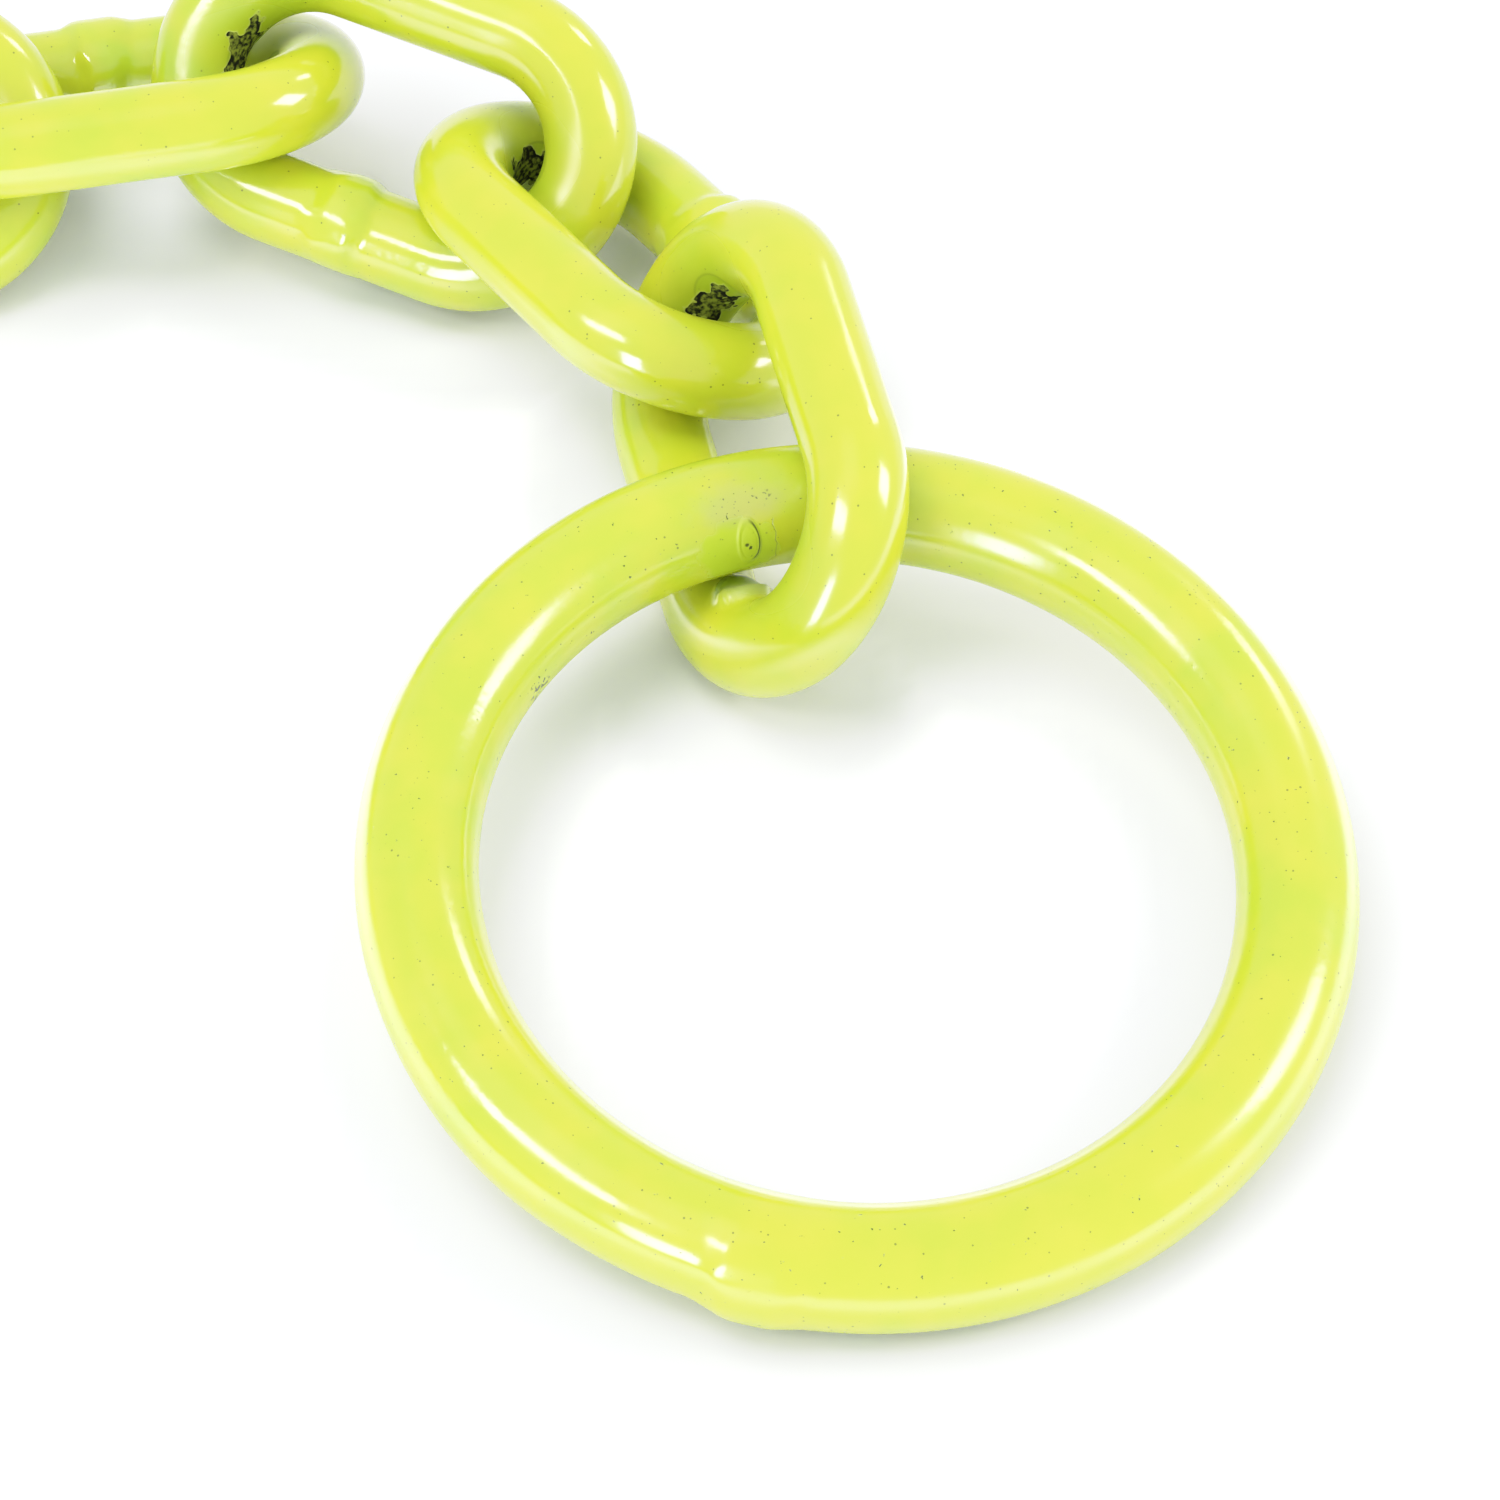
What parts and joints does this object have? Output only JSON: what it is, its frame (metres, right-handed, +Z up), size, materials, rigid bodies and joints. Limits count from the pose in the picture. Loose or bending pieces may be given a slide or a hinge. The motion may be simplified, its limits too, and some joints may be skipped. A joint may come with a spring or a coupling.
{
  "type": "painted steel chain with an end ring",
  "caption": "Short length of welded round-steel link chain in gloss lime paint, with a larger welded ring in its last link, lying in a loose curve.",
  "frame": {"origin": "middle of the chain's footprint on the floor it lies on", "axes": "+Z up from the floor; +X towards the side where the end ring lies; +Y towards the chain's side of the ring"},
  "size_m": [0.237, 0.2512, 0.0264],
  "materials": {
    "ring_paint": "gloss",
    "link_paint": "gloss"
  },
  "bodies": {
    "root": {"end_ring": "ring_paint", "link_01": "link_paint", "link_02": "link_paint", "link_03": "link_paint", "link_04": "link_paint", "link_05": "link_paint", "link_06": "link_paint", "link_07": "link_paint", "link_08": "link_paint", "link_09": "link_paint", "link_10": "link_paint", "link_11": "link_paint", "link_12": "link_paint", "link_13": "link_paint", "link_14": "link_paint", "link_15": "link_paint", "link_16": "link_paint", "link_17": "link_paint", "link_18": "link_paint"}
  },
  "joints": []
}
